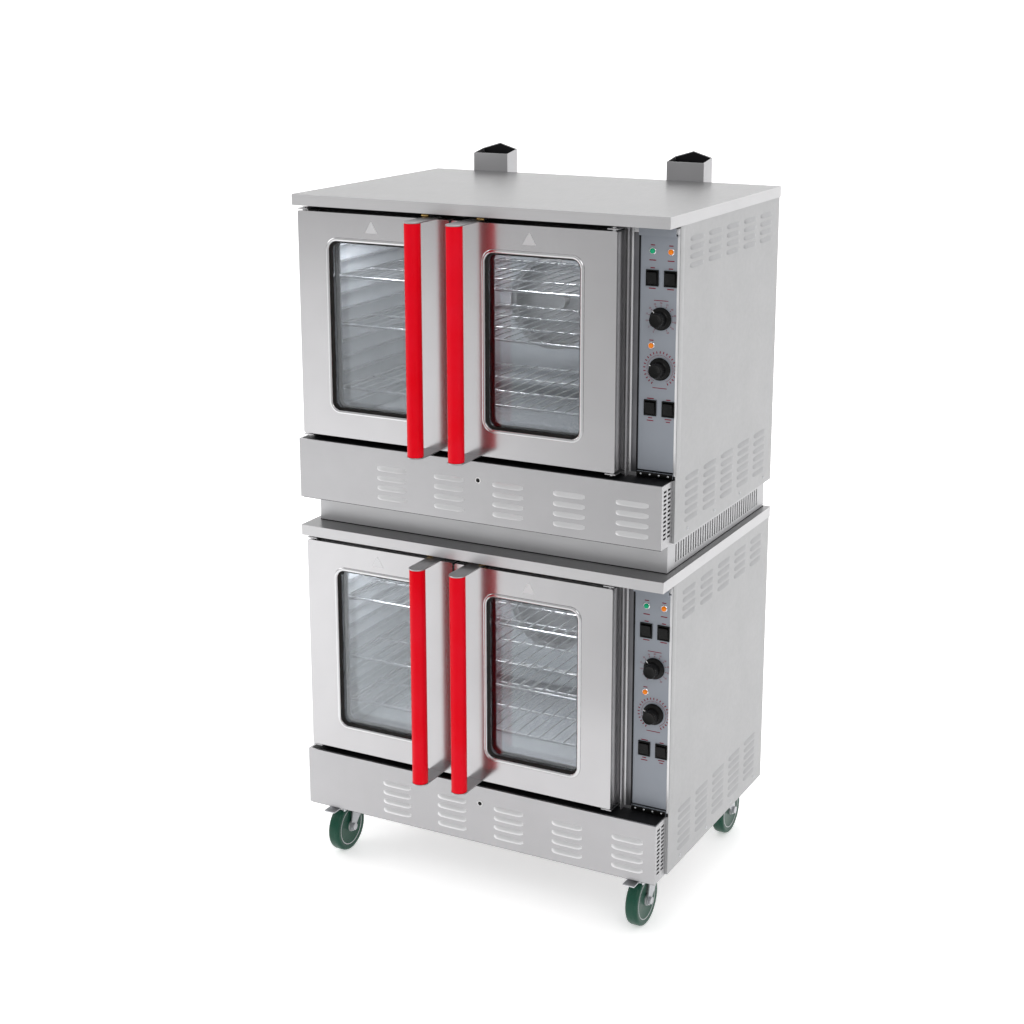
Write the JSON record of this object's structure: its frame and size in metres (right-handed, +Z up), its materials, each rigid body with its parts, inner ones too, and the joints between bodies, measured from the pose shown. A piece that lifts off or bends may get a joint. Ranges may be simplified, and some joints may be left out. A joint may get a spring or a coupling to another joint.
{
  "type": "deck oven",
  "caption": "Double-stack gas convection oven with glazed French doors, red bar handles, side control panels, wire racks, rear flues and braked casters.",
  "frame": {"origin": "on the floor, at the middle of the oven's box", "axes": "+Z up, the doors face -Y, +X to the right of somebody who faces the doors"},
  "size_m": [0.968, 0.8319, 1.762],
  "materials": {
    "stainless": "brushed",
    "side_steel": "satin",
    "enamel": "porcelain enamel",
    "chrome": "polished",
    "motor_paint": "satin",
    "burner_steel": "mill",
    "panel_film": "matt film",
    "lamp_lens": "clear gloss",
    "black_plastic": "semi-gloss",
    "zinc": "zinc plated",
    "door_glass": "clear",
    "red_enamel": "gloss",
    "tyre_green": "semi-gloss polyurethane"
  },
  "bodies": {
    "oven": {"top_covers": "stainless", "side_panels": "side_steel", "back_panels": "side_steel", "front_panels": "stainless", "base_pans": "side_steel", "stacking_plinth": "stainless", "face_frames": "stainless", "cavity_liners": "enamel", "rack_guides": "chrome", "fan_baffles": "enamel", "fan_motors": "motor_paint", "gas_burners": "burner_steel", "flue_risers": "stainless", "control_panels": "panel_film", "indicator_lamps": "lamp_lens", "switch_bezels": "black_plastic", "panel_screws": "zinc", "caster_plates": "zinc"},
    "upper_left_door": {"upper_left_door": "stainless", "upper_left_glass": "door_glass", "upper_left_handle": "red_enamel"},
    "upper_right_door": {"upper_right_door": "stainless", "upper_right_glass": "door_glass", "upper_right_handle": "red_enamel"},
    "upper_bottom_rack": {"upper_bottom_rack": "chrome"},
    "upper_middle_rack": {"upper_middle_rack": "chrome"},
    "upper_top_rack": {"upper_top_rack": "chrome"},
    "upper_fan": {"upper_fan": "burner_steel"},
    "upper_timer_knob": {"upper_timer_knob": "black_plastic"},
    "upper_thermostat_knob": {"upper_thermostat_knob": "black_plastic"},
    "upper_power_switch": {"upper_power_switch": "black_plastic"},
    "upper_light_switch": {"upper_light_switch": "black_plastic"},
    "upper_fan_switch": {"upper_fan_switch": "black_plastic"},
    "upper_burner_switch": {"upper_burner_switch": "black_plastic"},
    "lower_left_door": {"lower_left_door": "stainless", "lower_left_glass": "door_glass", "lower_left_handle": "red_enamel"},
    "lower_right_door": {"lower_right_door": "stainless", "lower_right_glass": "door_glass", "lower_right_handle": "red_enamel"},
    "lower_bottom_rack": {"lower_bottom_rack": "chrome"},
    "lower_middle_rack": {"lower_middle_rack": "chrome"},
    "lower_top_rack": {"lower_top_rack": "chrome"},
    "lower_fan": {"lower_fan": "burner_steel"},
    "lower_timer_knob": {"lower_timer_knob": "black_plastic"},
    "lower_thermostat_knob": {"lower_thermostat_knob": "black_plastic"},
    "lower_power_switch": {"lower_power_switch": "black_plastic"},
    "lower_light_switch": {"lower_light_switch": "black_plastic"},
    "lower_fan_switch": {"lower_fan_switch": "black_plastic"},
    "lower_burner_switch": {"lower_burner_switch": "black_plastic"},
    "front_left_caster_fork": {"front_left_caster_fork": "zinc"},
    "front_left_caster_wheel": {"front_left_caster_wheel": "tyre_green"},
    "front_left_brake_pedal": {"front_left_brake_pedal": "zinc"},
    "front_right_caster_fork": {"front_right_caster_fork": "zinc"},
    "front_right_caster_wheel": {"front_right_caster_wheel": "tyre_green"},
    "front_right_brake_pedal": {"front_right_brake_pedal": "zinc"},
    "rear_left_caster_fork": {"rear_left_caster_fork": "zinc"},
    "rear_left_caster_wheel": {"rear_left_caster_wheel": "tyre_green"},
    "rear_right_caster_fork": {"rear_right_caster_fork": "zinc"},
    "rear_right_caster_wheel": {"rear_right_caster_wheel": "tyre_green"}
  },
  "joints": [
    {"name": "upper_left_door_hinge", "type": "hinge", "parent": "oven", "child": "upper_left_door", "pos_m": [-0.462, -0.308, 1.383], "axis": [0, 0, 1], "range_deg": [-130, 0]},
    {"name": "upper_right_door_hinge", "type": "hinge", "parent": "oven", "child": "upper_right_door", "pos_m": [0.344, -0.308, 1.383], "axis": [0, 0, 1], "range_deg": [0, 130]},
    {"name": "upper_bottom_rack_slide", "type": "slide", "parent": "oven", "child": "upper_bottom_rack", "axis": [0, -1, 0], "range_m": [0, 0.02]},
    {"name": "upper_middle_rack_slide", "type": "slide", "parent": "oven", "child": "upper_middle_rack", "axis": [0, -1, 0], "range_m": [0, 0.02]},
    {"name": "upper_top_rack_slide", "type": "slide", "parent": "oven", "child": "upper_top_rack", "axis": [0, -1, 0], "range_m": [0, 0.02]},
    {"name": "upper_fan_spin", "type": "hinge", "parent": "oven", "child": "upper_fan", "pos_m": [-0.059, 0.206, 1.383], "axis": [0, 1, 0], "continuous": true},
    {"name": "upper_timer_knob_turn", "type": "hinge", "parent": "oven", "child": "upper_timer_knob", "pos_m": [0.43915, -0.268, 1.461], "axis": [0, 1, 0], "range_deg": [0, 300]},
    {"name": "upper_thermostat_knob_turn", "type": "hinge", "parent": "oven", "child": "upper_thermostat_knob", "pos_m": [0.43915, -0.268, 1.349], "axis": [0, 1, 0], "range_deg": [0, 280]},
    {"name": "upper_power_switch_rock", "type": "hinge", "parent": "oven", "child": "upper_power_switch", "pos_m": [0.41765, -0.268, 1.55], "axis": [1, 0, 0], "range_deg": [-18, 0]},
    {"name": "upper_light_switch_rock", "type": "hinge", "parent": "oven", "child": "upper_light_switch", "pos_m": [0.46065, -0.268, 1.55], "axis": [1, 0, 0], "range_deg": [-18, 0]},
    {"name": "upper_fan_switch_rock", "type": "hinge", "parent": "oven", "child": "upper_fan_switch", "pos_m": [0.41765, -0.268, 1.26], "axis": [1, 0, 0], "range_deg": [-18, 0]},
    {"name": "upper_burner_switch_rock", "type": "hinge", "parent": "oven", "child": "upper_burner_switch", "pos_m": [0.46065, -0.268, 1.26], "axis": [1, 0, 0], "range_deg": [-18, 0]},
    {"name": "lower_left_door_hinge", "type": "hinge", "parent": "oven", "child": "lower_left_door", "pos_m": [-0.462, -0.308, 0.571], "axis": [0, 0, 1], "range_deg": [-130, 0]},
    {"name": "lower_right_door_hinge", "type": "hinge", "parent": "oven", "child": "lower_right_door", "pos_m": [0.344, -0.308, 0.571], "axis": [0, 0, 1], "range_deg": [0, 130]},
    {"name": "lower_bottom_rack_slide", "type": "slide", "parent": "oven", "child": "lower_bottom_rack", "axis": [0, -1, 0], "range_m": [0, 0.02]},
    {"name": "lower_middle_rack_slide", "type": "slide", "parent": "oven", "child": "lower_middle_rack", "axis": [0, -1, 0], "range_m": [0, 0.02]},
    {"name": "lower_top_rack_slide", "type": "slide", "parent": "oven", "child": "lower_top_rack", "axis": [0, -1, 0], "range_m": [0, 0.02]},
    {"name": "lower_fan_spin", "type": "hinge", "parent": "oven", "child": "lower_fan", "pos_m": [-0.059, 0.206, 0.571], "axis": [0, 1, 0], "continuous": true},
    {"name": "lower_timer_knob_turn", "type": "hinge", "parent": "oven", "child": "lower_timer_knob", "pos_m": [0.43915, -0.268, 0.649], "axis": [0, 1, 0], "range_deg": [0, 300]},
    {"name": "lower_thermostat_knob_turn", "type": "hinge", "parent": "oven", "child": "lower_thermostat_knob", "pos_m": [0.43915, -0.268, 0.537], "axis": [0, 1, 0], "range_deg": [0, 280]},
    {"name": "lower_power_switch_rock", "type": "hinge", "parent": "oven", "child": "lower_power_switch", "pos_m": [0.41765, -0.268, 0.738], "axis": [1, 0, 0], "range_deg": [-18, 0]},
    {"name": "lower_light_switch_rock", "type": "hinge", "parent": "oven", "child": "lower_light_switch", "pos_m": [0.46065, -0.268, 0.738], "axis": [1, 0, 0], "range_deg": [-18, 0]},
    {"name": "lower_fan_switch_rock", "type": "hinge", "parent": "oven", "child": "lower_fan_switch", "pos_m": [0.41765, -0.268, 0.448], "axis": [1, 0, 0], "range_deg": [-18, 0]},
    {"name": "lower_burner_switch_rock", "type": "hinge", "parent": "oven", "child": "lower_burner_switch", "pos_m": [0.46065, -0.268, 0.448], "axis": [1, 0, 0], "range_deg": [-18, 0]},
    {"name": "front_left_caster_swivel", "type": "hinge", "parent": "oven", "child": "front_left_caster_fork", "pos_m": [-0.4156, -0.23, 0.14], "axis": [0, 0, 1], "continuous": true},
    {"name": "front_left_caster_roll", "type": "hinge", "parent": "front_left_caster_fork", "child": "front_left_caster_wheel", "pos_m": [-0.4156, -0.266, 0.0635], "axis": [1, 0, 0], "continuous": true},
    {"name": "front_left_brake_pedal_tip", "type": "hinge", "parent": "front_left_caster_fork", "child": "front_left_brake_pedal", "pos_m": [-0.4156, -0.3, 0.127], "axis": [1, 0, 0], "range_deg": [0, 15]},
    {"name": "front_right_caster_swivel", "type": "hinge", "parent": "oven", "child": "front_right_caster_fork", "pos_m": [0.4156, -0.23, 0.14], "axis": [0, 0, 1], "continuous": true},
    {"name": "front_right_caster_roll", "type": "hinge", "parent": "front_right_caster_fork", "child": "front_right_caster_wheel", "pos_m": [0.4156, -0.266, 0.0635], "axis": [1, 0, 0], "continuous": true},
    {"name": "front_right_brake_pedal_tip", "type": "hinge", "parent": "front_right_caster_fork", "child": "front_right_brake_pedal", "pos_m": [0.4156, -0.3, 0.127], "axis": [1, 0, 0], "range_deg": [0, 15]},
    {"name": "rear_left_caster_swivel", "type": "hinge", "parent": "oven", "child": "rear_left_caster_fork", "pos_m": [-0.4156, 0.244, 0.14], "axis": [0, 0, 1], "continuous": true},
    {"name": "rear_left_caster_roll", "type": "hinge", "parent": "rear_left_caster_fork", "child": "rear_left_caster_wheel", "pos_m": [-0.4156, 0.28, 0.0635], "axis": [1, 0, 0], "continuous": true},
    {"name": "rear_right_caster_swivel", "type": "hinge", "parent": "oven", "child": "rear_right_caster_fork", "pos_m": [0.4156, 0.244, 0.14], "axis": [0, 0, 1], "continuous": true},
    {"name": "rear_right_caster_roll", "type": "hinge", "parent": "rear_right_caster_fork", "child": "rear_right_caster_wheel", "pos_m": [0.4156, 0.28, 0.0635], "axis": [1, 0, 0], "continuous": true}
  ]
}
